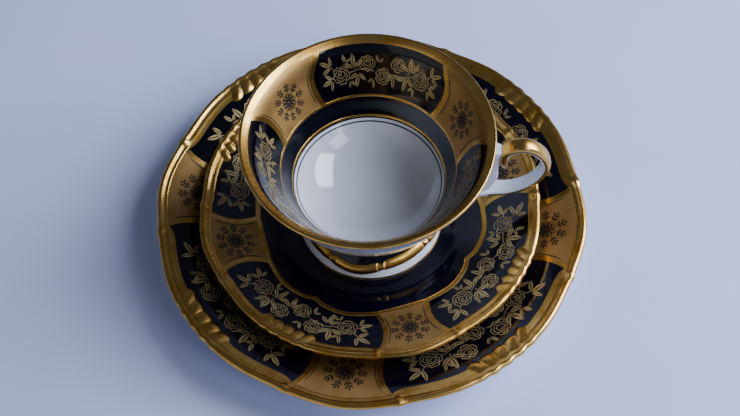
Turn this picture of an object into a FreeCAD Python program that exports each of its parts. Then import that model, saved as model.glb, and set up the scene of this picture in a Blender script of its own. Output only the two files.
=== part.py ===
"""Porcelain teacup on its saucer, stacked on a dessert plate (millimetres, +Z up).

Three pieces stand in each other: the plate's foot ring is at z = 0, the saucer stands in the plate's
well and the cup stands in the saucer's well. Their common axis is the Z axis.
"""
import FreeCAD
import Part
import math
import os

Vector = FreeCAD.Vector

# ---- driving dimensions -------------------------------------------------------------------------
# dessert plate
PLATE_RADIUS = 95.6          # mean radius of the scalloped rim
PLATE_RIM_HEIGHT = 19.4      # top of the rim above the table
PLATE_WELL_RADIUS = 57.0     # flat floor of the well
PLATE_WELL_HEIGHT = 5.0      # top of the well's floor
PLATE_WALL = 3.0
PLATE_FLANK = (0.15, 0.55, 0.90)     # share of the rise at the three FLANK_STEPS
PLATE_FOOT_RADIUS = 54.0
PLATE_PANEL_TURN = -7.5      # degrees, where the first gold panel is centred

# saucer
SAUCER_RADIUS = 75.8
SAUCER_RIM_HEIGHT = 18.8     # above its own foot
SAUCER_WELL_RADIUS = 38.5
SAUCER_WELL_HEIGHT = 4.1     # above its own foot
SAUCER_WALL = 2.8
SAUCER_FLANK = (0.12, 0.47, 0.84)
SAUCER_FOOT_RADIUS = 37.0
SAUCER_PANEL_TURN = 16.0

# what both dishes share
FLANK_STEPS = (0.17, 0.50, 0.845)    # places from the well (0) to the rim (1) that shape the flank
FOOT_RING_WIDTH = 3.2                # flat of the foot rings
FOOT_RING_DRAFT = 1.2                # how far a foot ring's sides lean
SCALLOP_FOLDS = 4            # gold panels, and so repeats, round a rim
WAVE_DEEP = 0.0050           # eight-lobed wave, as a share of the rim's radius
WAVE_FINE = 0.0040           # twelve-lobed wave
KNOT_ANGLE = 15.0            # small points beside each gold panel
KNOT_RISE = 0.0050
KNOT_SPREAD = 1.6            # degrees
SHELL_LOBES = 5              # moulded lobes in the middle of each blue panel
SHELL_HALF_ANGLE = 9.5
SHELL_RISE = 0.0055

# cup
CUP_HEIGHT = 66.6
LIP_RADIUS = 52.7
LIP_WALL = 2.4
BOWL_INNER_RADIUS = 32.8     # inside, at the ring round the floor
BOWL_RING_DROP = 33.7        # that ring, below the rim
BOWL_DEPTH = 48.0            # rim down to the middle of the floor
BOWL_WALL = 4.6              # at the ring; it thins towards the lip
WAIST_RADIUS = 25.5          # narrowest place, over the foot
WAIST_HEIGHT = 13.2
FOOT_RADIUS = 32.8
FOOT_WALL = 3.2

# handle
STRAP_WIDTH = 6.4
STRAP_THICKNESS = 4.2
HANDLE_REACH = 24.3          # from the lip's radius to the outside of the loop
HANDLE_TOP_DROP = 7.1          # top of the loop, below the rim
LOOP_HEIGHT = 37.0           # outside of the loop, from its lowest point to its top
ROOT_SPREAD = 1.5            # how much wider the strap is where it meets the bowl
HANDLE_TURN = 0.0            # degrees round the axis
OVAL_STEPS = 16              # points that each oval section is drawn through


# ---- shared shapes ------------------------------------------------------------------------------
def polyline(points):
    """Straight edges through a list of (radius, height) pairs."""
    corners = [Vector(r, 0, z) for r, z in points]
    return [Part.makeLine(a, b) for a, b in zip(corners, corners[1:])]


def curve(points, leave=None, arrive=None):
    """One smooth edge through a few (radius, height) pairs, with its slopes at both ends if given."""
    line = Part.BSplineCurve()
    places = [Vector(r, 0, z) for r, z in points]
    if leave is None:
        line.interpolate(places)
    else:
        line.interpolate(places, InitialTangent=Vector(*leave), FinalTangent=Vector(*arrive))
    return [line.toShape()]


def turned(edges):
    """Solid of revolution about Z from the edges of a closed half section."""
    face = Part.Face(Part.Wire(edges))
    solid = face.revolve(Vector(0, 0, 0), Vector(0, 0, 1), 360)
    return solid if solid.Volume > 0 else solid.reversed()


def scallop(angle):
    """Radius of a rim at an angle in degrees from a gold panel's middle, as a share of its mean."""
    period = 360.0 / SCALLOP_FOLDS
    fold = (angle + period / 2) % period - period / 2
    turn = math.radians(angle)
    share = 1 + WAVE_DEEP * math.cos(2 * SCALLOP_FOLDS * turn) + WAVE_FINE * math.cos(3 * SCALLOP_FOLDS * turn)
    share += KNOT_RISE * math.exp(-((abs(fold) - KNOT_ANGLE) / KNOT_SPREAD) ** 2)
    along = (period / 2 - abs(fold)) / SHELL_HALF_ANGLE
    if along < 1:
        lobe = math.cos(math.pi * SHELL_LOBES * along / 2) ** 2
        share += SHELL_RISE * lobe * (1 - along ** 4)
    return share


def scalloped_prism(radius, turn, height):
    """Upright prism on a rim's scalloped outline."""
    steps = 72 * SCALLOP_FOLDS
    outline = []
    for step in range(steps):
        angle = 360.0 * step / steps
        at = radius * scallop(angle)
        heading = math.radians(angle + turn)
        outline.append(Vector(at * math.cos(heading), at * math.sin(heading), -1))
    rim = Part.BSplineCurve()
    rim.interpolate(outline, PeriodicFlag=True)
    return Part.Face(Part.Wire(rim.toShape())).extrude(Vector(0, 0, height + 2))


def dish(radius, rim_height, well_radius, well_height, wall, flank, foot_radius, turn):
    """Plate or saucer on its own foot ring: flat well, rising flank, scalloped edge."""
    rise = rim_height - well_height
    top = [(well_radius, well_height)]
    top += [(well_radius + step * (radius - well_radius), well_height + share * rise)
            for step, share in zip(FLANK_STEPS, flank)]
    top += [(radius, rim_height)]
    over = 0.06 * radius
    last_slope = (top[-1][1] - top[-2][1]) / (top[-1][0] - top[-2][0])
    top += [(radius + over, rim_height + over * last_slope)]
    under = [(r, z - wall) for r, z in top]
    floor = well_height - wall
    ring_inner = foot_radius - FOOT_RING_WIDTH
    slope = (1, 0, last_slope)
    edges = polyline([(0, floor), (0, well_height), (well_radius, well_height)])
    edges += curve(top, leave=(1, 0, 0), arrive=slope)
    edges += polyline([top[-1], under[-1]])
    edges += curve(under, leave=(1, 0, 0), arrive=slope)
    edges += polyline([under[0], (foot_radius + FOOT_RING_DRAFT, floor), (foot_radius, 0), (ring_inner, 0),
                       (ring_inner - FOOT_RING_DRAFT, floor), (0, floor)])
    return turned(edges).common(scalloped_prism(radius, turn, rim_height + 2 * over))


# ---- plate and saucer ---------------------------------------------------------------------------
plate = dish(PLATE_RADIUS, PLATE_RIM_HEIGHT, PLATE_WELL_RADIUS, PLATE_WELL_HEIGHT, PLATE_WALL,
             PLATE_FLANK, PLATE_FOOT_RADIUS, PLATE_PANEL_TURN)

saucer = dish(SAUCER_RADIUS, SAUCER_RIM_HEIGHT, SAUCER_WELL_RADIUS, SAUCER_WELL_HEIGHT, SAUCER_WALL,
              SAUCER_FLANK, SAUCER_FOOT_RADIUS, SAUCER_PANEL_TURN)
saucer_base = PLATE_WELL_HEIGHT
saucer.translate(Vector(0, 0, saucer_base))
cup_base = saucer_base + SAUCER_WELL_HEIGHT


# ---- cup ----------------------------------------------------------------------------------------
def bowl_and_foot():
    """Flared bowl with a rolled lip on a wide hollow foot, standing at z = 0."""
    rim = CUP_HEIGHT
    ring = rim - BOWL_RING_DROP
    floor = rim - BOWL_DEPTH
    wall_rise = rim - 2.3 - ring
    throat = LIP_RADIUS - 3.6
    lip_out = LIP_RADIUS - 0.45 * LIP_WALL
    inside = [(0, floor), (0.55 * BOWL_INNER_RADIUS, floor + 0.22 * (ring - floor)),
              (BOWL_INNER_RADIUS, ring)]
    wall = [(BOWL_INNER_RADIUS, ring),
            (BOWL_INNER_RADIUS + 0.31 * (throat - BOWL_INNER_RADIUS), ring + 0.335 * wall_rise),
            (throat, ring + wall_rise), (LIP_RADIUS - 0.9, rim)]
    outside = [(lip_out, rim - LIP_WALL), (throat + 0.7, rim - 6.6),
               (0.5 * (throat + BOWL_INNER_RADIUS) + BOWL_WALL, 0.5 * (ring + rim) - 0.2 * BOWL_WALL),
               (BOWL_INNER_RADIUS + 1.05 * BOWL_WALL, ring - 0.45 * BOWL_WALL),
               (WAIST_RADIUS + 4.6, WAIST_HEIGHT + 8.4), (WAIST_RADIUS, WAIST_HEIGHT)]
    foot = [(WAIST_RADIUS, WAIST_HEIGHT), (WAIST_RADIUS + 0.42 * (FOOT_RADIUS - WAIST_RADIUS), 0.66 * WAIST_HEIGHT),
            (FOOT_RADIUS - 1.4, 0.24 * WAIST_HEIGHT), (FOOT_RADIUS, 0)]
    inner_foot = FOOT_RADIUS - FOOT_WALL
    ceiling = floor - 0.9 * BOWL_WALL
    rolled_lip = Part.Arc(Vector(LIP_RADIUS - 0.9, 0, rim), Vector(LIP_RADIUS, 0, rim - 0.9),
                          Vector(lip_out, 0, rim - LIP_WALL)).toShape()
    edges = curve(inside) + curve(wall) + [rolled_lip] + curve(outside) + curve(foot)
    edges += polyline([(FOOT_RADIUS, 0), (inner_foot, 0), (WAIST_RADIUS - FOOT_WALL, 0.8 * WAIST_HEIGHT),
                       (0.4 * WAIST_RADIUS, ceiling), (0, ceiling), (0, floor)])
    return turned(edges)


def section(centre, tangent, width, thickness):
    """Oval section of the strap, square to its path in the XZ plane."""
    across = Vector(0, width / 2, 0)
    thin = Vector(-tangent.z, 0, tangent.x) * (thickness / 2)
    turns = [2 * math.pi * step / OVAL_STEPS for step in range(OVAL_STEPS)]
    oval = Part.BSplineCurve()
    oval.interpolate([centre + across * math.cos(t) + thin * math.sin(t) for t in turns], PeriodicFlag=True)
    return Part.Wire(oval.toShape())


def strap(points, sizes):
    """Loft of elliptic sections along a smooth path; sizes gives (width, thickness) at each point."""
    path = Part.BSplineCurve()
    path.interpolate([Vector(r, 0, z) for r, z in points])
    sections = []
    steps = 4 * (len(points) - 1)
    for step in range(steps + 1):
        share = step / steps * (len(points) - 1)
        index = min(int(share), len(points) - 2)
        part = share - index
        low = path.parameter(Vector(points[index][0], 0, points[index][1]))
        high = path.parameter(Vector(points[index + 1][0], 0, points[index + 1][1]))
        at = low + part * (high - low)
        width = (1 - part) * sizes[index][0] + part * sizes[index + 1][0]
        thickness = (1 - part) * sizes[index][1] + part * sizes[index + 1][1]
        sections.append(section(path.value(at), path.tangent(at)[0], width, thickness))
    return Part.makeLoft(sections, True)


def handle():
    """Ear-shaped loop: a strap from the bowl, out, up and over to a curled tail, and a web down the bowl."""
    half = STRAP_THICKNESS / 2
    right = LIP_RADIUS + HANDLE_REACH - half
    top = CUP_HEIGHT - HANDLE_TOP_DROP - half
    low = top - LOOP_HEIGHT + STRAP_THICKNESS
    tail = LIP_RADIUS + 4.9
    root = BOWL_INNER_RADIUS + 0.25 * BOWL_WALL
    loop = [(root, low + 4.6), (right - 29.0, low + 1.9), (right - 15.5, low), (right - 7.2, low + 4.0),
            (right - 2.0, low + 11.0), (right, low + 20.0), (right - 2.8, top - 5.4), (right - 10.5, top),
            (right - 17.1, top - 3.0), (tail, top - 9.4), (tail + 1.2, top - 15.2)]
    full = (STRAP_WIDTH, STRAP_THICKNESS)
    sizes = [(STRAP_WIDTH + 2 * ROOT_SPREAD, STRAP_THICKNESS + ROOT_SPREAD)] + [full] * 8 + [(5.2, 3.3), (2.4, 1.9)]
    web = [(LIP_RADIUS - 10.8, low + 3.2), (LIP_RADIUS - 6.0, low + 10.4), (LIP_RADIUS - 3.5, low + 18.4),
           (LIP_RADIUS - 2.1, top - 8.4), (LIP_RADIUS - 1.0, top - 2.0)]
    web_sizes = [(STRAP_WIDTH + 3.2, 16.0), (STRAP_WIDTH - 0.2, 17.0), (STRAP_WIDTH - 1.2, 12.8),
                 (STRAP_WIDTH - 1.0, 10.0), (STRAP_WIDTH - 0.4, 8.6)]
    return strap(loop, sizes).fuse(strap(web, web_sizes))


cup = bowl_and_foot().fuse(handle().rotate(Vector(0, 0, 0), Vector(0, 0, 1), HANDLE_TURN))
cup = cup.removeSplitter()
cup.translate(Vector(0, 0, cup_base))

# ---- one file for each piece --------------------------------------------------------------------
os.makedirs("parts", exist_ok=True)
for name, shape in (("plate", plate), ("saucer", saucer), ("cup", cup)):
    solid = shape.Solids[0] if len(shape.Solids) == 1 else shape
    solid.exportStep("parts/%s.step" % name)
    print(name, "solids", len(shape.Solids), "valid", shape.isValid(), "volume", round(shape.Volume))
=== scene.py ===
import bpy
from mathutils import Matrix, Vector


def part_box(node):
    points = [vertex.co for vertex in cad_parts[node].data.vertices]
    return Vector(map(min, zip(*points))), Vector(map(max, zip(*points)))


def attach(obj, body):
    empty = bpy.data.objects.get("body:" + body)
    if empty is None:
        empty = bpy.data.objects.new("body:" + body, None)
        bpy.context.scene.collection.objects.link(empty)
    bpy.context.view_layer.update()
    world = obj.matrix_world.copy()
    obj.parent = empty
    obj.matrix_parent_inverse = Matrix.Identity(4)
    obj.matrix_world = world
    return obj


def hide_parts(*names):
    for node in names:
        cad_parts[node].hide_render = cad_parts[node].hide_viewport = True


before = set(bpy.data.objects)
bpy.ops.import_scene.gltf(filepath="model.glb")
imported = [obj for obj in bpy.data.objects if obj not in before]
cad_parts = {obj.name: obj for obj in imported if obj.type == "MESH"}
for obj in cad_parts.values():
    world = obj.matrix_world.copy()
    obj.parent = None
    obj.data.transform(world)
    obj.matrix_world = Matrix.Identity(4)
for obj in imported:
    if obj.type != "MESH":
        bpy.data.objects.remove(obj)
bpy.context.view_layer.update()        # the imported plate, saucer and cup, which stand in one another on one axis

from types import SimpleNamespace

import bmesh
import bpy
import numpy as np


# ---- The plate's porcelain ----------------------------------------------------------------------
# A dessert plate of hard porcelain, pressed on a mould: cobalt blue above and glazed white underneath.
# It stands on a bare ring, from which the glaze was wiped before firing.

MM = 0.001               # lengths below are in millimetres, and meshes are in metres
shell_half = 10.5        # degrees from the middle of a blue panel to the end of its five lobes
shell_start = 45 - shell_half            # the same end, from a gold panel's middle
cobalt, white, bare = 0, 1, 2            # places of the porcelain's three materials in their list


def spaced(count, low=0.0, high=1.0):
    """That many evenly spaced numbers."""
    return np.linspace(low, high, count)


def fold(angle):
    """Distance in degrees from the middle of the nearest of a dish's four gold panels."""
    return np.abs((angle + 45) % 90 - 45)


def from_blue(angle):
    """Distance from the middle of the nearest blue panel, as a share of a shell's half width, up to 1."""
    return np.minimum((45 - fold(angle)) / shell_half, 1)


def scallop(angle):
    """Radius of a dish's rim as a share of its mean, for an angle in degrees from a gold panel's middle.

    An eight-lobed and a twelve-lobed wave, a small point on both sides of each gold panel, and five low
    lobes in the middle of each blue panel.
    """
    turn = np.radians(angle)
    wave = 0.0050 * np.cos(8 * turn) + 0.0040 * np.cos(12 * turn)
    point = 0.0050 * np.exp(-((fold(angle) - 15) / 1.6) ** 2)
    along = from_blue(angle)
    lobes = 0.0055 * np.cos(2.5 * np.pi * along) ** 2 * (1 - along ** 4)
    return 1 + wave + point + lobes


def smooth_line(x, at, values, first_slope=None):
    """Smooth curve through a few places: between two neighbours a cubic, whose slope at each place is
    the slope across the places beside it."""
    at, values = np.asarray(at, float), np.asarray(values, float)
    slope = np.gradient(values, at)
    if first_slope is not None:
        slope[0] = first_slope
    left = np.clip(np.searchsorted(at, x, side="right") - 1, 0, len(at) - 2)
    width = at[left + 1] - at[left]
    t = (x - at[left]) / width
    start = (1 + 2 * t) * (1 - t) ** 2 * values[left] + t * (1 - t) ** 2 * width * slope[left]
    end = t ** 2 * (3 - 2 * t) * values[left + 1] + t ** 2 * (t - 1) * width * slope[left + 1]
    return start + end


def dish_height(dish, radius):
    """Height of a dish's upper side: flat in the well, then a smooth rise through five given heights."""
    at = dish.well + np.array([0, 0.17, 0.5, 0.845, 1]) * (dish.rim - dish.well)
    rise = smooth_line(np.maximum(radius, dish.well), at, dish.flank, first_slope=0)
    return dish.well_top + rise * (dish.rim_top - dish.well_top)


def on_dish(dish):
    """The upper side of a dish as a function: angle in degrees from a gold panel's middle, radius, and lift
    along the surface's normal give a point."""
    def surface(angle, radius, lift=0.0):
        slope = (dish_height(dish, radius + 0.05) - dish_height(dish, radius - 0.05)) / 0.1
        long = np.sqrt(1 + slope ** 2)
        reach = radius - lift * slope / long
        height = dish_height(dish, radius) + lift / long
        turn = np.radians(angle + dish.turn)
        return np.stack(np.broadcast_arrays(reach * np.cos(turn), reach * np.sin(turn), height), -1)
    return surface


def build(name, ware, materials, grids, crease=50):
    """Makes one piece from grids of points in millimetres, each (points, round the rows, round the columns,
    material of each row). Neighbouring points make four-sided faces, and a round direction closes on itself.
    Points that meet become one, which closes poles, tips and edges, and the faces are turned outwards."""
    places, quads, paint, start = [], [], [], 0
    for points, round_rows, round_columns, material in grids:
        rows, columns = points.shape[:2]
        index = start + np.arange(rows * columns).reshape(rows, columns)
        start += rows * columns
        index = np.vstack([index, index[:1]]) if round_rows else index
        index = np.hstack([index, index[:, :1]]) if round_columns else index
        corners = np.stack([index[:-1, :-1], index[1:, :-1], index[1:, 1:], index[:-1, 1:]], -1)
        places.append(points.reshape(-1, 3))
        quads.append(corners.reshape(-1, 4))
        paint.append(np.broadcast_to(np.reshape(material, (-1, 1)), corners.shape[:2]).reshape(-1))
    places, quads, paint = np.concatenate(places) * MM, np.concatenate(quads), np.concatenate(paint)
    mesh = bpy.data.meshes.new(name)
    mesh.vertices.add(len(places))
    mesh.vertices.foreach_set("co", places.ravel())
    mesh.loops.add(quads.size)
    mesh.loops.foreach_set("vertex_index", quads.ravel())
    mesh.polygons.add(len(quads))
    mesh.polygons.foreach_set("loop_start", np.arange(len(quads)) * 4)
    mesh.polygons.foreach_set("material_index", paint)
    mesh.update(calc_edges=True)
    work = bmesh.new()
    work.from_mesh(mesh)
    bmesh.ops.remove_doubles(work, verts=work.verts, dist=2e-7)
    bmesh.ops.recalc_face_normals(work, faces=work.faces)
    work.to_mesh(mesh)
    work.free()
    mesh.shade_smooth()
    mesh.set_sharp_from_angle(angle=np.radians(crease))
    for material in materials:
        mesh.materials.append(material)
    piece = bpy.data.objects.new(name, mesh)
    bpy.context.scene.collection.objects.link(piece)
    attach(piece, "root")
    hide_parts(ware.node)


def dish_body(dish, columns):
    """Closed shell of a dish in rows from the middle of its well, out over the rim, and back underneath to
    the middle. The rim is half a round of the wall's thickness. Returns the rows and each row's material."""
    angle = np.arange(columns) * 360 / columns
    half = dish.wall / 2
    neck = dish.rim * scallop(angle) - half
    edge_share = dish.well / dish.rim
    out = np.concatenate([spaced(5, 0, edge_share), spaced(45, edge_share, 1)[1:]])
    top = dish.surface(angle, out[:, None] * neck)
    swing = np.radians(spaced(9, 75, -75))[:, None]
    turn = np.radians(angle + dish.turn)
    reach = neck + half * np.cos(swing)
    height = dish_height(dish, neck) - half + half * np.sin(swing)
    edge = np.stack(np.broadcast_arrays(reach * np.cos(turn), reach * np.sin(turn), height), -1)
    foot, floor, base = dish.foot, dish.well_top - dish.wall, dish.base
    under_radius = foot + 1.6 + spaced(22, 1, 0)[:, None] * (neck - foot - 1.6)
    under_height = dish_height(dish, under_radius) - dish.wall
    # The section of the foot ring, from outside inwards, and then the underside of the well.
    ring = np.array([(foot + 0.7, floor - 0.3), (foot + 0.2, base + 0.4), (foot - 0.2, base),
                     (foot - 3.0, base), (foot - 3.4, base + 0.4), (foot - 3.9, floor - 0.3),
                     (foot - 4.8, floor), (0.5 * foot, floor), (0, floor)])
    low_radius = np.vstack([under_radius, np.broadcast_to(ring[:, :1], (len(ring), columns))])
    low_height = np.vstack([under_height, np.broadcast_to(ring[:, 1:], (len(ring), columns))])
    low = np.stack([low_radius * np.cos(turn), low_radius * np.sin(turn), low_height], -1)
    points = np.concatenate([top, edge, low])
    material = np.full(len(points) - 1, white)
    material[:len(top)] = cobalt
    material[len(top) + len(edge) + len(under_radius) + 2] = bare
    return [(points, False, True, material)]


def linear(code):
    """Linear colour of an sRGB hex code such as 1A2B3C."""
    share = np.array([int(code[i:i + 2], 16) for i in (0, 2, 4)]) / 255
    value = np.where(share <= 0.04045, share / 12.92, ((share + 0.055) / 1.055) ** 2.4)
    return (*map(float, value), 1.0)


def add(tree, kind, links=(), **settings):
    """Adds a node. A setting named like an input sets that input, any other sets the node itself. Each link
    is (output socket, name of this node's input)."""
    node = tree.nodes.new(kind)
    for key, value in settings.items():
        if hasattr(node, key):
            setattr(node, key, value)
        else:
            node.inputs[key.replace("_", " ")].default_value = value
    for output, name in links:
        tree.links.new(output, node.inputs[name])
    return node


def finish_material(name, colours, cloud_size, wave_size, wave_height, **shader_inputs):
    """Material whose colour drifts between two hex colours in clouds of one size, and whose surface has soft
    waves of another size and height, all in millimetres. The rest are inputs of the shader itself."""
    material = bpy.data.materials.new(name)
    material.use_nodes = True
    tree = material.node_tree
    shader = tree.nodes["Principled BSDF"]
    where = add(tree, "ShaderNodeTexCoord").outputs["Object"]
    cloud = add(tree, "ShaderNodeTexNoise", [(where, "Vector")], Scale=1 / (cloud_size * MM), Detail=3.0)
    tint = add(tree, "ShaderNodeValToRGB", [(cloud.outputs["Fac"], "Fac")])
    for stop, place, code in zip(tint.color_ramp.elements, (0.3, 0.7), colours):
        stop.position, stop.color = place, linear(code)
    wave = add(tree, "ShaderNodeTexNoise", [(where, "Vector")], Scale=1 / (wave_size * MM), Detail=2.0)
    bump = add(tree, "ShaderNodeBump", [(wave.outputs["Fac"], "Height")], Strength=1.0,
               Distance=wave_height * MM)
    tree.links.new(tint.outputs["Color"], shader.inputs["Base Color"])
    tree.links.new(bump.outputs["Normal"], shader.inputs["Normal"])
    for key, value in shader_inputs.items():
        shader.inputs[key.replace("_", " ")].default_value = value
    return material, tree, shader, cloud


# Hard porcelain under a clear feldspar glaze, fired white with a cool cast. The glaze lies in soft waves
# some 14 mm long, which bend its reflections a little.
white_glaze, *_ = finish_material("white_glazed_porcelain", ("D2D8E2", "E0E5EC"), 25, 14, 0.02,
                                  Roughness=0.10, IOR=1.52, Coat_Weight=0.5, Coat_Roughness=0.04)

# Cobalt oxide fired under the clear glaze: nearly black in shade, deep blue where light falls on it,
# and a little uneven where the colour pooled.
cobalt_glaze, *_ = finish_material("cobalt_blue_glaze", ("010107", "040516"), 18, 10, 0.012,
                                   Roughness=0.10, IOR=1.50)

# Bare fired clay on the foot rings: matt and slightly grey, with a fine grain drawn at 0.4 mm.
bare_clay, *_ = finish_material("unglazed_porcelain", ("C2BFB8", "DAD8D2"), 6, 0.4, 0.02, Roughness=0.8)

around = np.arange(720) / 2
low, high = (np.array(corner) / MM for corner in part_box("plate"))
plate = SimpleNamespace(
    node="plate", slot="plate_porcelain", folds=4, turn=-7.5,
    base=low[2], wall=3.0, well=57.0, foot=54.0,
    well_top=low[2] + 5.0, rim_top=low[2] + 19.4, flank=(0, 0.15, 0.55, 0.90, 1))
plate.rim = high[0] / np.max(scallop(around) * np.cos(np.radians(around + plate.turn)))
plate.surface = on_dish(plate)
build("plate_porcelain", plate, [cobalt_glaze, white_glaze, bare_clay], dish_body(plate, 576))


# ---- The plate's gold rim -----------------------------------------------------------------------
# The moulded edge is covered in burnished gold: a roll on the very rim, a groove, a flatter band, and
# five shell lobes in the middle of each blue panel. The gold is fired on over the glaze.

plate.corner = 13.9      # degrees from a gold panel's middle to the blue panel's outer corner
plate.gilt = 4.6         # width of the gilt edge beside a gold panel
plate.gilt_blue = 7.0    # and along a blue one
plate.shell = 2.8        # how much further the shell's lobes reach
plate.relief = 0.8       # how far they stand up


def shell_lobes(angle, spread=1.0):
    """Five rounded lobes in the middle of each blue panel, from 0 to 1, with sharp
    valleys between them. A spread under 1 draws them together."""
    along = np.minimum(from_blue(angle) / spread, 1)
    return np.abs(np.cos(2.5 * np.pi * along)) ** 0.8 * (along < 1)


def gilt_width(dish, angle):
    """Width of the gilt edge: narrow beside the gold panels, wider along the blue ones, widest at the
    shell, whose inner edge is lobed."""
    blue = 1 / (1 + np.exp(-(fold(angle) - dish.corner) / 0.5))
    shell = 1 / (1 + np.exp(-(fold(angle) - shell_start - 0.3) / 0.25))
    width = dish.gilt + (dish.gilt_blue - dish.gilt) * blue
    return width + dish.shell * shell * (0.3 + 0.7 * shell_lobes(angle))


def gilt_edge(dish, columns=1440):
    """Closed ring of gold over the rim, in rows across it. Its height over the porcelain is a sum of bells of
    the distance from the edge, a roll and a flat band with a groove between, and of ribs that spread like a
    shell's from the edge to its inner lobes, with a knot at each corner of a gold panel."""
    angle = np.arange(columns) * 360 / columns
    half = dish.wall / 2
    width = gilt_width(dish, angle)
    edge = dish.rim * scallop(angle)
    inward = half + np.concatenate([[1], spaced(23, 1, 0)])[:, None] * (width - half)
    fade = np.minimum((width - inward) / 0.4, 1)
    shell = 1 / (1 + np.exp(-(fold(angle) - shell_start + 0.5) / 0.8))
    bells = 0.60 * np.exp(-((inward - 1.4) / 1.2) ** 2) + 0.14 * np.exp(-((inward - 4.2) / 0.9) ** 2)
    bells = bells * (1 - 0.4 * shell)
    across = np.clip((inward - half) / (width - half), 0, 1)
    pillow = dish.relief * shell_lobes(angle, 0.72 + 0.28 * across) * np.sin(np.pi * across ** 1.9) ** 0.7
    knot = 0.6 * np.exp(-((fold(angle) - dish.corner - 0.8) / 1.1) ** 2 - ((inward - 2.6) / 1.2) ** 2)
    lift = 0.06 + (bells + pillow + knot) * fade
    lift[0] = -0.4
    top = dish.surface(angle, edge - inward, lift)
    swing = np.radians(spaced(12, 60, -100))[:, None]
    bulge = half + 0.06 + (lift[-1] - 0.06) * np.clip((swing + 0.7) / 1.75, 0, 1) ** 1.5
    reach = edge - half + bulge * np.cos(swing)
    height = dish_height(dish, edge - half) - half + bulge * np.sin(swing)
    reach = np.vstack([reach, reach[-1:] - 0.3])
    height = np.vstack([height, height[-1:] + 0.6])
    turn = np.radians(angle + dish.turn)
    rolled = np.stack(np.broadcast_arrays(reach * np.cos(turn), reach * np.sin(turn), height), -1)
    return [(np.concatenate([top, rolled]), True, True, 0)]


# Burnished gold: fired gold powder rubbed bright with agate. It mirrors the light softly, a little warmer
# and duller where it is thin, and the hand-laid coat is uneven over some 7 mm.
burnished_gold, tree, shader, cloud = finish_material(
    "burnished_gold", ("BA8938", "DFB666"), 9, 7, 0.03, Metallic=1.0)
rough = add(tree, "ShaderNodeMapRange", [(cloud.outputs["Fac"], "Value")], To_Min=0.34, To_Max=0.20)
tree.links.new(rough.outputs["Result"], shader.inputs["Roughness"])

build("plate_gilt_edge", plate, [burnished_gold], gilt_edge(plate), crease=80)


# ---- The plate's gold panels --------------------------------------------------------------------
# Between the blue panels lie panels of matt gold. Each has a burnished border along its two sides, which
# curve in, and a thin dark line beside it. A gilt line closes all the panels towards the well.

plate.line = 65.0        # radius of the gilt line round the well
plate.line_width = 2.2
plate.side_low = 17.5    # half width of a gold panel at the gilt line
plate.side_high = 21.7   # and at the gilt edge
plate.bow = 4.0          # how far its sides curve in


def line_radius(dish, angle):
    """Radius of the gilt line round the well: a shallow bow behind each gold panel, a cusp at its corners, a
    swell along the blue panel and a dip in the middle of it."""
    out = fold(angle)
    cusp = 1.2 * np.minimum(out / dish.corner, 1) ** 3
    along = np.clip((out - dish.corner) / (45 - dish.corner), 0, 1)
    swell = 1.3 * np.sin(np.pi * along) ** 2 - 0.5 * along - 1.3 * np.exp(-((45 - out) / 3.0) ** 2)
    return dish.line + cusp + swell


def dish_limits(dish):
    """Gives a dish its panels' lowest and highest radius at an angle, and half of a gold panel's width in
    degrees at a radius: a straight taper less a parabola."""
    dish.lowest = lambda angle: line_radius(dish, angle)
    dish.highest = lambda angle: dish.rim * scallop(angle) - gilt_width(dish, angle) + 0.4
    span = dish.rim - dish.gilt - dish.line

    def side(radius):
        t = np.clip((radius - dish.line) / span, 0, 1)
        half_width = dish.side_low + (dish.side_high - dish.side_low) * t - 4 * dish.bow * t * (1 - t)
        return np.degrees(half_width / radius)
    dish.side = side
    dish.reach = lambda radius: radius
    dish.rise = 0.97


def slab(surface, angle, up, top, bottom=-0.1):
    """Closed thin slab on a surface, from bottom to top beside it: both faces and the wall between."""
    flat, deep = surface(angle, up, top), surface(angle, up, bottom)

    def border(points):
        return np.concatenate([points[0, :-1], points[:-1, -1], points[-1, :0:-1], points[:0:-1, 0]])
    wall = np.stack([border(flat), border(deep)])
    return [(flat, False, False, 0), (deep, False, False, 0), (wall, False, True, 0)]


def centres(ware):
    """Angles of the middles of the gold panels."""
    return np.arange(ware.folds) * 360 / ware.folds


def gold_panels(ware, top=0.05):
    """A slab for each gold panel: across it from side to side, and up it from the gilt line to the rim."""
    grids = []
    share = spaced(30, 0, 1)[:, None]
    across = spaced(41, -1, 1)
    for centre in centres(ware):
        middle = (ware.lowest(centre) + ware.highest(centre)) / 2
        rough_angle = centre + across * ware.side(middle)
        up = ware.lowest(rough_angle) + share * (ware.highest(rough_angle) - ware.lowest(rough_angle))
        grids += slab(ware.surface, centre + across * ware.side(up), up, top)
    return grids


def side_lines(ware, inset, width, trim, top):
    """A slab along both sides of each gold panel, so far inside it and so wide, shorter by a share at each
    end."""
    grids = []
    share = spaced(34, trim, 1 - trim)[:, None]
    for centre in centres(ware):
        for sign in (-1, 1):
            corner = centre + sign * ware.side((ware.lowest(centre) + ware.highest(centre)) / 2)
            up = ware.lowest(corner) + share * (ware.highest(corner) - ware.lowest(corner))
            taper = np.minimum(1, 0.15 + np.minimum(share - trim, 1 - trim - share) / 0.08) if trim else 1
            inside = inset + spaced(4, -0.5, 0.5) * width * taper
            angle = centre + sign * (ware.side(up) - np.degrees(inside / ware.reach(up)))
            grids += slab(ware.surface, angle, up + 0 * angle, top)
    return grids


def gilt_line(ware, radius, width, height, columns=1080):
    """Closed ring of raised gold: its section is a flat arch, so wide and so high, over the surface."""
    angle = np.arange(columns) * 360 / columns
    across = spaced(9, -1, 1)[:, None]
    lift = 0.03 + height * np.sqrt(1 - across ** 2)
    lift = np.vstack([lift, [[-0.15]]])
    across = np.vstack([across, [[0]]])
    return [(ware.surface(angle, radius(angle) + across * width / 2, lift), True, True, 0)]


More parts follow.
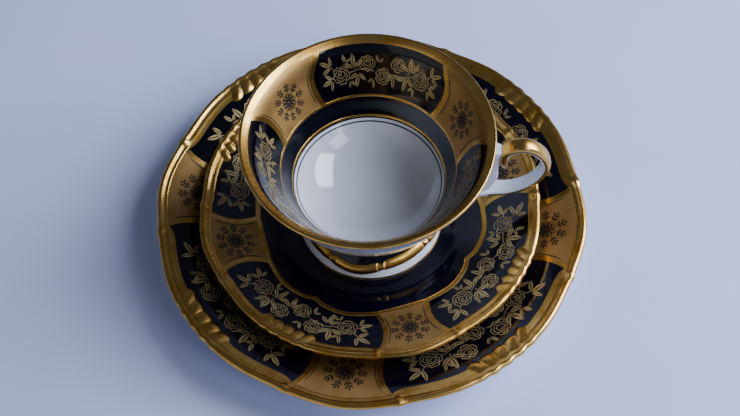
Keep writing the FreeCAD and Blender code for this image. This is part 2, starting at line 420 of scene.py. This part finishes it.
# Matt gold: the same fired gold, left as it comes from the kiln. It is browner and scatters light, and
# its powdery grain is drawn at 0.8 mm.
matt_gold, *_ = finish_material("matt_gold", ("A07C46", "BE985E"), 12, 0.8, 0.006,
                                Metallic=1.0, Roughness=0.50)

# Dark brown enamel, printed over the gold in lines a fraction of a millimetre wide; along the handle's gilding it
# is painted shade.
dark_enamel, *_ = finish_material("dark_brown_enamel", ("0B0704", "150D07"), 3, 0.6, 0.004,
                                  Roughness=0.4, IOR=1.5)

dish_limits(plate)
build("plate_gold_panels", plate, [matt_gold], gold_panels(plate))
build("plate_panel_borders", plate, [burnished_gold],
      side_lines(plate, inset=1.2, width=2.4, trim=0, top=0.09))
build("plate_panel_lines", plate, [dark_enamel],
      side_lines(plate, inset=3.2, width=0.45, trim=0.12, top=0.13))
build("plate_gilt_line", plate, [burnished_gold],
      gilt_line(plate, plate.lowest, plate.line_width, height=0.15))


# ---- The plate's flower sprays and medallions ---------------------------------------------------
# Each blue panel has a spray of five roses and their leaves, printed in gold in fine raised lines. Each
# gold panel has a round medallion of petals and leafy sprigs, printed in dark enamel.

plate.spray_up = 77.5    # radius of the middle of the sprays
plate.spray_size = 1.12  # their size beside the saucer's
plate.medal_up = 79.0    # radius of the middle of the medallions
plate.medal_size = 1.1


def strokes(x, y, half_width):
    """Strokes as one array, each a row of points (x, y, half width)."""
    return np.stack(np.broadcast_arrays(x, y, half_width), -1).reshape(-1, np.shape(x)[-1], 3)


def rose(x, y, size, turn, line=0.20):
    """Strokes of an open rose: rings of 1, 3, 4 and 5 petals, the inner ones towards its top. A petal's edge
    is an arc, wavy near the rim, whose radius falls off towards both ends, so that it tucks under."""
    ring = np.repeat([0.18, 0.44, 0.72, 1.0], [1, 3, 4, 5])[:, None]
    first = np.concatenate([k + 360 / n * np.arange(n) for k, n in ((0, 1), (40, 3), (10, 4), (30, 5))])
    span = np.repeat([290, 140, 106, 86], [1, 3, 4, 5])[:, None]
    u = spaced(11, -1)
    angle = np.radians(turn + first[:, None] + span * u / 2)
    radius = size / 2 * (ring - 0.17 * u ** 2 * ring ** 0.5 - 0.05 * ring ** 2 * np.cos(2.5 * np.pi * u))
    y = y + 0.07 * size * (1 - ring)
    return strokes(x + radius * np.cos(angle), y + 0.92 * radius * np.sin(angle), line * (1 - u ** 6))


def leaf_fans(fans, spread=(-58, 2, 55), sizes=(0.95, 1.15, 0.9)):
    """Strokes of three-leaved fans, each (x, y, direction, leaf length). A leaf is two half blades, as wide
    as a sine over its length, with a gap for its vein."""
    x, y, heading, length = (column[:, None, None, None] for column in np.array(fans, float).T)
    heading = np.radians(heading + np.array(spread)[:, None, None])
    length = length * np.array(sizes)[:, None, None]
    side = np.array([-1, 1])[:, None]
    u = spaced(11)
    blade = 0.15 * length * np.sin(np.pi * u ** 0.85) ** 0.9
    along, beside = length * (0.10 + 0.90 * u), side * (0.07 + 0.56 * blade)
    return strokes(x + along * np.cos(heading) - beside * np.sin(heading),
                   y + along * np.sin(heading) + beside * np.cos(heading), 0.42 * blade)


def stems(rows, line=0.17):
    """Strokes of stems, each (start x and y, end x and y, bend): a straight line with a parabola beside."""
    x, y, end_x, end_y, bend = (column[:, None] for column in np.array(rows, float).T)
    u = spaced(11)
    arch = 4 * bend * u * (1 - u) / np.hypot(end_x - x, end_y - y)
    return strokes(x + u * (end_x - x) - arch * (end_y - y), y + u * (end_y - y) + arch * (end_x - x),
                   line * (1 - (2 * u - 1) ** 8))


def spray():
    """Strokes of the spray, in millimetres along the panel and out towards its rim."""
    return np.concatenate([
        rose(21.4, -1.6, 8.8, 20), rose(7.6, 2.6, 8.0, 80), rose(-0.8, -3.2, 8.0, 150),
        rose(-8.2, 3.0, 7.4, 30), rose(-21.6, -0.8, 8.8, 200),
        leaf_fans([(26.6, -2.6, -14, 5.4), (26.0, 3.2, 34, 5.8), (14.4, 0.8, 84, 6.2), (12.6, -1.6, -82, 5.8),
                   (-6.0, -1.6, -100, 5.6), (-14.6, 1.0, 88, 6.2), (-13.6, -1.4, -84, 6.0),
                   (-26.2, 3.0, 146, 5.8), (-26.8, -2.6, 194, 5.4)]),
        leaf_fans([(18.6, 3.6, 110, 4.6), (17.0, -4.6, -110, 4.4), (1.6, 2.8, 100, 4.2),
                   (4.4, -4.4, -60, 4.4), (-17.6, 3.6, 75, 4.6), (-18.4, -5.0, -70, 4.2)],
                  (-32, 34), (1.0, 0.8)),
        stems([(17.2, -0.8, 11.6, 0.8, 0.6), (12.4, -0.2, 3.2, -1.6, -0.8), (-4.4, -1.6, -17.2, -0.4, 0.9),
               (25.6, -1.8, 28.6, -3.2, 0.4), (-25.8, -1.8, -29.0, -3.2, -0.4), (24.6, 1.0, 27.6, 4.2, 0.3),
               (-24.8, 1.2, -27.8, 5.0, -0.3), (14.2, 0.2, 14.6, 2.2, 0.1), (-14.0, -0.4, -14.6, 2.4, 0.1)])])


def medallion():
    """Strokes of the medallion: a star of ten rays, ten petals between them, each two lines that part as a
    sine, and beyond each petal a sprig, which is a stem with two pairs of leaflets and one at its tip."""
    u = spaced(9)
    ten = np.radians(36 * np.arange(10))

    def polar(angle, along, beside, half_width):
        return strokes(along * np.cos(angle) - beside * np.sin(angle),
                       along * np.sin(angle) + beside * np.cos(angle), half_width)
    star = polar(ten[:, None] + np.pi / 10, 4.4 * u, 0 * u, 0.78 * (1 - u) * (u > 0))
    side = np.array([-1, 1])[:, None]
    petals = polar(ten[:, None, None], 1.4 + 3.2 * u, side * 0.48 * np.sin(np.pi * u),
                   0.24 * np.sin(np.pi * u))
    stalks = polar(ten[:, None], 4.4 + 3.2 * u, 0 * u, 0.24 * np.sin(np.pi * u) ** 0.5)
    tips = polar(ten[:, None], 7.3 + 1.7 * u, 0 * u, 0.40 * np.sin(np.pi * u))
    place = np.array([4.9, 6.5])[:, None, None]
    length = np.array([1.6, 1.7])[:, None, None]
    leaflets = polar(ten[:, None, None, None], place + 0.95 * length * u,
                     side * (0.14 + 0.84 * length * u), 0.37 * np.sin(np.pi * u) ** 0.8)
    return np.concatenate([star, petals, stalks, tips, leaflets])


def print_on(ware, drawing, angles, middle, size, top, bottom=-0.1):
    """Wraps a drawing round the ware at each angle, so many times its size, which may differ across and up,
    and makes each stroke a thin closed bar with a ridge underneath and both ends pinched."""
    line = np.diff(drawing[..., :2], axis=1, prepend=drawing[:, :1, :2], append=drawing[:, -1:, :2])
    line = line[:, :-1] + line[:, 1:]
    across = np.stack([-line[..., 1], line[..., 0]], -1)
    across /= np.maximum(np.linalg.norm(across, axis=-1, keepdims=True), 1e-9)
    half = drawing[..., 2:] * across
    flat = drawing[..., :2]
    corners = np.stack([flat + half, flat - half, flat], 2) * size
    lift = np.stack([0 * flat[..., 0] + top, 0 * flat[..., 0] + top, 0 * flat[..., 0] + bottom], 2)
    lift[drawing[..., 2] <= 1e-6] = (top + bottom) / 2
    up = middle + corners[..., 1] * ware.rise
    grids = []
    for angle in angles:
        points = ware.surface(angle + np.degrees(corners[..., 0] / ware.reach(middle)), up, lift)
        grids += [(bar, False, True, 0) for bar in points]
    return grids


# Gold printed in fine lines and left unburnished: duller than the rim, its grain drawn at 0.6 mm.
printed_gold, *_ = finish_material("printed_gold", ("A38A57", "CDB57F"), 2.5, 0.6, 0.006,
                                   Metallic=0.75, Roughness=0.40)

build("plate_flower_sprays", plate, [printed_gold],
      print_on(plate, spray(), centres(plate) + 45, plate.spray_up, plate.spray_size, top=0.06))
build("plate_medallions", plate, [dark_enamel],
      print_on(plate, medallion(), centres(plate), plate.medal_up, plate.medal_size, top=0.10))


# ---- The saucer ---------------------------------------------------------------------------------
# The same ware in a smaller size, and decorated the same way. It stands in the plate's well, turned so
# that its gold panels fall between the plate's.

low, high = (np.array(corner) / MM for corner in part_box("saucer"))
saucer = SimpleNamespace(
    node="saucer", slot="saucer_porcelain", folds=4, turn=16.0,
    base=low[2], wall=2.8, well=38.5, foot=37.0,
    well_top=low[2] + 4.1, rim_top=low[2] + 18.8, flank=(0, 0.12, 0.47, 0.84, 1),
    corner=12.8, gilt=4.5, gilt_blue=5.0, shell=3.0, relief=0.6,
    line=49.6, line_width=2.2, side_low=13.5, side_high=15.9, bow=3.4,
    spray_up=61.5, spray_size=1.0, medal_up=61.8, medal_size=1.0)
saucer.rim = high[0] / np.max(scallop(around) * np.cos(np.radians(around + saucer.turn)))
saucer.surface = on_dish(saucer)
dish_limits(saucer)
build("saucer_porcelain", saucer, [cobalt_glaze, white_glaze, bare_clay], dish_body(saucer, 576))
build("saucer_gilt_edge", saucer, [burnished_gold], gilt_edge(saucer), crease=80)
build("saucer_gold_panels", saucer, [matt_gold], gold_panels(saucer))
build("saucer_panel_borders", saucer, [burnished_gold],
      side_lines(saucer, inset=1.1, width=2.2, trim=0, top=0.09))
build("saucer_panel_lines", saucer, [dark_enamel],
      side_lines(saucer, inset=3.0, width=0.45, trim=0.12, top=0.13))
build("saucer_gilt_line", saucer, [burnished_gold],
      gilt_line(saucer, saucer.lowest, saucer.line_width, height=0.15))
build("saucer_flower_sprays", saucer, [printed_gold],
      print_on(saucer, spray(), centres(saucer) + 45, saucer.spray_up, saucer.spray_size, top=0.06))
build("saucer_medallions", saucer, [dark_enamel],
      print_on(saucer, medallion(), centres(saucer), saucer.medal_up, saucer.medal_size, top=0.10))


# ---- The cup's porcelain ------------------------------------------------------------------------
# A wide, thin-walled bowl, thrown in a mould and joined with slip to a flared hollow foot. It is white
# outside and in the well, and cobalt blue above the well and round the foot's waist.

low, high = (np.array(corner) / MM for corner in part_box("cup"))
cup = SimpleNamespace(
    node="cup", slot="cup_porcelain", folds=3, turn=22.2, base=low[2], rise=0.85,
    ring_up=33.4, line_up=42.4, lip_up=64.2, brim_up=64.6,      # heights above the cup's base
    spray_up=53.6, spray_size=(0.84, 1.10), medal_up=52.9, medal_size=(0.92, 1.08))


def smooth_path(points, count):
    """Smooth curve through points (radius, height) above the cup's base, by the length of their chords."""
    points = np.array(points, float) + (0, cup.base)
    chord = np.concatenate([[0], np.cumsum(np.hypot(*np.diff(points, axis=0).T))])
    t = spaced(count, 0, chord[-1])
    return np.stack([smooth_line(t, chord, points[:, 0]), smooth_line(t, chord, points[:, 1])], -1)


well_bottom = smooth_path([(0, 18.6), (9.5, 19.3), (18.0, 21.6), (26.2, 26.2), (32.4, 32.3)], 60)
inner_wall = smooth_path([(32.4, 32.3), (32.9, 33.1), (37.9, 43.4), (43.8, 54.3), (49.1, 64.3),
                          (51.6, 66.3)], 600)
lip = smooth_path([(51.6, 66.3), (52.4, 66.3), (52.7, 65.6), (52.4, 64.9), (51.6, 64.0)], 24)
outer_wall = smooth_path([(51.6, 64.0), (49.9, 60.0), (45.5, 48.8), (41.3, 39.4), (37.0, 30.6),
                          (31.0, 22.6), (27.0, 17.0), (25.5, 13.2)], 240)
foot_side = smooth_path([(25.5, 13.2), (26.2, 10.8), (28.6, 8.0), (30.8, 5.0), (32.0, 2.2), (32.6, 0.7)], 160)
foot_ring = smooth_path([(32.6, 0.7), (32.4, 0.1), (31.7, 0), (30.5, 0), (29.8, 0.15), (29.4, 0.7)], 12)
foot_hollow = smooth_path([(29.4, 0.7), (27.4, 5.0), (22.3, 10.6), (15.0, 13.6), (10.2, 14.5), (0, 14.5)], 60)


def turned(profile, columns=576):
    """Rows of points of a profile (radius, height) turned round the axis."""
    turn = np.radians(np.arange(columns) * 360 / columns)
    radius, height = profile[:, 0, None], profile[:, 1, None]
    return np.stack(np.broadcast_arrays(radius * np.cos(turn), radius * np.sin(turn), height), -1)


parts = [well_bottom[:-1], inner_wall[:-1:12], lip[:-1], outer_wall[:-1:6], foot_side[:-1:5],
         foot_ring[:-1], foot_hollow]
colours = (white, cobalt, white, white, white, bare, white)
paint = np.concatenate([np.full(len(part), colour) for part, colour in zip(parts, colours)])[:-1]
profile = np.concatenate(parts)
waist_reach, waist_low, waist_high = 30.5, 6.9, 18
start = profile[:-1] - (0, cup.base)
waist = (start[:, 0] < waist_reach) & (start[:, 1] > waist_low) & (start[:, 1] < waist_high)
below = np.arange(len(paint)) > sum(map(len, parts[:3]))
above_hollow = np.arange(len(paint)) < sum(map(len, parts[:5]))
paint[waist & below & above_hollow] = cobalt
build("cup_porcelain", cup, [cobalt_glaze, white_glaze, bare_clay], [(turned(profile), False, True, paint)])


# ---- The cup's gilding --------------------------------------------------------------------------
# The lip is gold inside and out. Three gold panels inside, like the dishes', with sprays between them,
# end at a gilt line. A plain blue band lies below it, closed by a thin gilt ring and a hair of dark enamel.

def beside(profile, lift):
    """A profile moved sideways by lift to the left of its direction."""
    line = np.gradient(profile, axis=0)
    line /= np.linalg.norm(line, axis=1, keepdims=True)
    return profile + np.reshape(lift, (-1, 1)) * np.stack([-line[:, 1], line[:, 0]], -1)


def gilt_ring(profile, height):
    """Closed ring on part of a profile: a flat arch so high beside it, with its back inside the wall."""
    across = spaced(len(profile), -1)
    arch = 0.03 + height * np.sqrt(1 - across ** 2)
    front = beside(profile, arch)
    back = beside(profile, np.full(len(profile), -0.25))[1:-1][::-1]
    return [(turned(np.concatenate([front, back])), True, True, 0)]


def on_wall(angle, height, lift=0.0):
    """Point on the cup's inner wall at an angle in degrees from a gold panel's middle, a height, and a lift
    along the normal, which points in towards the axis and up."""
    reach = np.interp(height, inner_wall[:, 1], inner_wall[:, 0])
    lean = (np.interp(height + 0.1, inner_wall[:, 1], inner_wall[:, 0])
            - np.interp(height - 0.1, inner_wall[:, 1], inner_wall[:, 0])) / 0.2
    long = np.sqrt(1 + lean ** 2)
    reach, height = reach - lift / long, height + lift * lean / long
    turn = np.radians(angle + cup.turn)
    return np.stack(np.broadcast_arrays(reach * np.cos(turn), reach * np.sin(turn), height), -1)


cup.surface = on_wall
cup.reach = lambda height: np.interp(height, inner_wall[:, 1], inner_wall[:, 0])
cup.line = cup.base + cup.line_up
cup.brim = cup.base + cup.brim_up
cup.lowest = lambda angle: cup.line + 0 * angle
cup.highest = lambda angle: cup.brim + 0 * angle
cup.side = lambda height: smooth_line(
    height - cup.base, (cup.line_up, 48.1, 55.3, 65.0), (22.4, 20.0, 20.2, 27.6))

near_lip = inner_wall[inner_wall[:, 1] > cup.base + cup.lip_up]
build("cup_gilt_lip", cup, [burnished_gold],
      gilt_ring(np.concatenate([near_lip[:-1:6], lip[:-1], outer_wall[:8:2]]), height=0.10))
build("cup_gold_panels", cup, [matt_gold], gold_panels(cup))
build("cup_panel_borders", cup, [burnished_gold],
      side_lines(cup, inset=1.2, width=2.4, trim=0, top=0.09))
build("cup_panel_lines", cup, [dark_enamel],
      side_lines(cup, inset=3.2, width=0.42, trim=0.12, top=0.13))
build("cup_gilt_line", cup, [burnished_gold], gilt_line(cup, cup.lowest, width=1.1, height=0.10))
build("cup_gilt_ring", cup, [burnished_gold],
      gilt_line(cup, lambda angle: cup.base + cup.ring_up + 0 * angle, width=0.9, height=0.08))
build("cup_well_line", cup, [dark_enamel], gilt_ring(well_bottom[-4:-2], height=0.02))
build("cup_flower_sprays", cup, [printed_gold],
      print_on(cup, spray(), centres(cup) + 60, cup.base + cup.spray_up, cup.spray_size, top=0.06))
build("cup_medallions", cup, [dark_enamel],
      print_on(cup, medallion(), centres(cup), cup.base + cup.medal_up, cup.medal_size, top=0.10))


# ---- The cup's foot -----------------------------------------------------------------------------
# A raised wave of gold, with a knot at each crest, runs round the foot under its blue waist, and a gilt
# line runs round its lower edge. Between them the porcelain stays white.

def foot_surface(angle, drop, lift=0.0):
    """Point on the outside of the foot, so far down its side from the waist, and lifted outwards."""
    length = np.concatenate([[0], np.cumsum(np.hypot(*np.diff(foot_side, axis=0).T))])
    line = np.gradient(foot_side, length, axis=0)
    reach = np.interp(drop, length, foot_side[:, 0]) - lift * np.interp(drop, length, line[:, 1])
    height = np.interp(drop, length, foot_side[:, 1]) + lift * np.interp(drop, length, line[:, 0])
    turn = np.radians(angle)
    return np.stack(np.broadcast_arrays(reach * np.cos(turn), reach * np.sin(turn), height), -1)


def foot_wave(columns=1440):
    """Closed ring of gold in relief on the foot. It rises and falls in a four-lobed wave, its height is a
    broad roll, and eight knots pinch it between their two grooves."""
    angle = np.arange(columns) * 360 / columns
    first_knot, gap = 280, 45
    from_knot = (angle - first_knot + gap / 2) % gap - gap / 2
    pinch = np.exp(-(from_knot / 3.0) ** 2)
    wave = -1.1 * np.cos(np.radians(4 * (angle - first_knot - gap / 2)))
    upper = 5.5 + wave + 0.9 * pinch - 0.3 * np.cos(np.radians(8 * from_knot))
    lower = upper + 5.0 - 1.4 * pinch
    across = spaced(13)[:, None]
    groove = 0.55 * np.exp(-(np.abs(from_knot) - 3.2) ** 2)
    roll = 0.95 * np.sin(np.pi * across) ** 0.8 * (1 - groove)
    lift = 0.05 + roll + 0.25 * pinch * np.sin(np.pi * across)
    drop = upper + across * (lower - upper)
    front = foot_surface(angle, drop, lift)
    back = foot_surface(angle, drop[::-1], -0.3)
    return [(np.concatenate([front, back]), True, True, 0)]


build("cup_foot_wave", cup, [burnished_gold], foot_wave(), crease=80)
build("cup_foot_line", cup, [burnished_gold], gilt_ring(foot_side[-13:], height=0.06))


# ---- The cup's handle ---------------------------------------------------------------------------
# A strap of porcelain bent into a loop that curls in at its top, on a web that runs down the bowl. It was
# cast on its own and stuck on with slip. Its outer face is gilded and the rest is white.

def bent_bar(line, width, thickness):
    """Surface of a bar along a smooth line of points (reach, height) at the cup's side, as a function of the
    angle round its section, 0 outwards and 90 degrees to the right, the share of its length, and a lift.
    The section is an oval drawn out towards a rectangle; its width lies across and its thickness along
    the line's plane."""
    line = np.array(line, float)
    chord = np.concatenate([[0], np.cumsum(np.hypot(*np.diff(line, axis=0).T))])

    def surface(angle, share, lift=0.0):
        t = share * chord[-1]
        reach, height = (smooth_line(t, chord, line[:, k]) for k in (0, 1))
        step = 0.002 * chord[-1]
        back, on = np.clip(t - step, 0, chord[-1]), np.clip(t + step, 0, chord[-1])
        ahead = [smooth_line(on, chord, line[:, k]) - smooth_line(back, chord, line[:, k]) for k in (0, 1)]
        long = np.hypot(*ahead)
        half_wide = smooth_line(t, chord, np.array(width, float)) / 2 + lift
        half_thick = smooth_line(t, chord, np.array(thickness, float)) / 2 + lift
        turn = np.radians(angle)
        outwards = half_thick * np.sign(np.cos(turn)) * np.abs(np.cos(turn)) ** 0.77
        sideways = half_wide * np.sign(np.sin(turn)) * np.abs(np.sin(turn)) ** 0.77
        x, z = reach + outwards * ahead[1] / long, height - outwards * ahead[0] / long
        return np.stack(np.broadcast_arrays(x, sideways, z), -1)
    return surface


def closed_bar(surface, rows, columns=44):
    """Rows round a bar from end to end, with each end drawn in to its middle."""
    share = np.concatenate([[0], spaced(rows), [1]])[:, None]
    points = surface(np.arange(columns) * 360 / columns, share)
    points[[0, -1]] = points[[0, -1]].mean(1, keepdims=True)
    return (points, False, True, 0)


strap = bent_bar([(33.95, 38.3), (39.5, 36.7), (45.9, 35.4), (53.0, 34.0), (59.4, 33.7), (67.7, 37.7),
                  (72.9, 44.7), (74.9, 53.7), (72.1, 61.1), (64.4, 66.5), (57.9, 63.4), (56.9, 57.1),
                  (57.9, 50.9)],
                 (15.0, 13.6, 11.0, 7.8, 6.8, 6.4, 6.4, 6.4, 6.4, 6.4, 6.4, 5.6, 2.4),
                 (6.4, 5.6, 4.9, 4.4, 4.2, 4.2, 4.2, 4.2, 4.2, 4.2, 4.3, 3.8, 1.9))
web = bent_bar([(43.4, 35.9), (46.9, 44.1), (49.0, 52.1), (50.5, 58.1), (52.0, 64.8)],
               (10.0, 6.0, 5.2, 5.4, 6.0), (16.4, 17.4, 12.8, 10.2, 9.4))
build("cup_handle", cup, [white_glaze], [closed_bar(strap, rows=120), closed_bar(web, rows=40)])

# The gold covers the strap's outer half from above its root, and more of it towards the curled end.
gold_start, curl_start, gold_end = 0.20, 0.86, 0.995     # shares of the strap's length
half_cover, more_at_curl = 92, 48                        # degrees round it to each side
share = spaced(110, gold_start, gold_end)[:, None]
reach = half_cover + more_at_curl * np.clip((share - curl_start) / 0.08, 0, 1)
build("cup_handle_gilding", cup, [burnished_gold],
      slab(strap, reach * spaced(25, -1), share, top=0.07, bottom=-0.3))
# Thin dark enamel lines along both edges of the handle's gilding: painted shade at the gold's edges.
build("cup_handle_painted_shade_lines", cup, [dark_enamel],
      [grid for sign in (-1, 1) for grid in
       slab(strap, sign * (reach + spaced(3, -1, 5)), share, top=0.05, bottom=-0.3)])


# ---- The floor, the lights and the camera -------------------------------------------------------
# A plain pale board lies under the plate. A large soft light stands on the right like a window, with a
# small one and a faint one in front, in a dim room.

# Matt emulsion paint, pale blue-grey, its faint clouds 60 mm across and its stipple drawn at 2 mm.
board, *_ = finish_material("painted_board", ("C7CFF0", "CCD4F4"), 60, 2, 0.01, Roughness=0.6, IOR=1.45)
side = 3000 * MM
mesh = bpy.data.meshes.new("floor")
mesh.from_pydata([(-side, -side, 0), (side, -side, 0), (side, side, 0), (-side, side, 0)], [], [(0, 1, 2, 3)])
mesh.materials.append(board)
floor = bpy.data.objects.new("floor", mesh)
bpy.context.scene.collection.objects.link(floor)


def area_light(name, place, target, size, power, colour):
    """Square area light at a place, turned towards a target, both in metres."""
    data = bpy.data.lights.new(name, "AREA")
    data.shape, data.size, data.energy, data.color = "SQUARE", size, power, linear(colour)[:3]
    lamp = bpy.data.objects.new(name, data)
    lamp.location = place
    away = np.array(place) - np.array(target)
    flat = np.hypot(away[0], away[1])
    lamp.rotation_euler = (np.arctan2(flat, away[2]), 0, np.arctan2(away[0], -away[1]))
    bpy.context.scene.collection.objects.link(lamp)


middle = (0, 0, 0.03)
area_light("window_light", (1.05, 0.20, 0.78), middle, 0.90, 37, "E0E9FF")
area_light("small_window_light", (0.74, -0.66, 0.84), middle, 0.46, 4, "E0E9FF")
area_light("fill_light", (-0.9, -1.0, 0.60), middle, 1.2, 2.0, "F4EFF0")

# The room: its walls are lighter than its ceiling, so the sky dims with height from the horizon.
world = bpy.data.worlds.new("dim_room")
world.use_nodes = True
tree = world.node_tree
toward = add(tree, "ShaderNodeTexCoord").outputs["Generated"]
height = add(tree, "ShaderNodeSeparateXYZ", [(toward, "Vector")]).outputs["Z"]
dim = add(tree, "ShaderNodeMapRange", [(height, "Value")],
          From_Min=0.05, From_Max=0.75, To_Min=0.30, To_Max=0.16)
back = tree.nodes["Background"]
back.inputs["Color"].default_value = linear("B6BFD6")
tree.links.new(dim.outputs["Result"], back.inputs["Strength"])
bpy.context.scene.world = world

# The camera stands in front of the cup and looks down on it, some 60 degrees from level.
lens = bpy.data.cameras.new("camera")
lens.sensor_width, lens.lens = 36.0, 58.38
camera = bpy.data.objects.new("camera", lens)
camera.location = (0.0103, -0.2752, 0.4811)
camera.rotation_euler = np.radians((30.66, 1.18, 0.17))
bpy.context.scene.collection.objects.link(camera)
bpy.context.scene.camera = camera
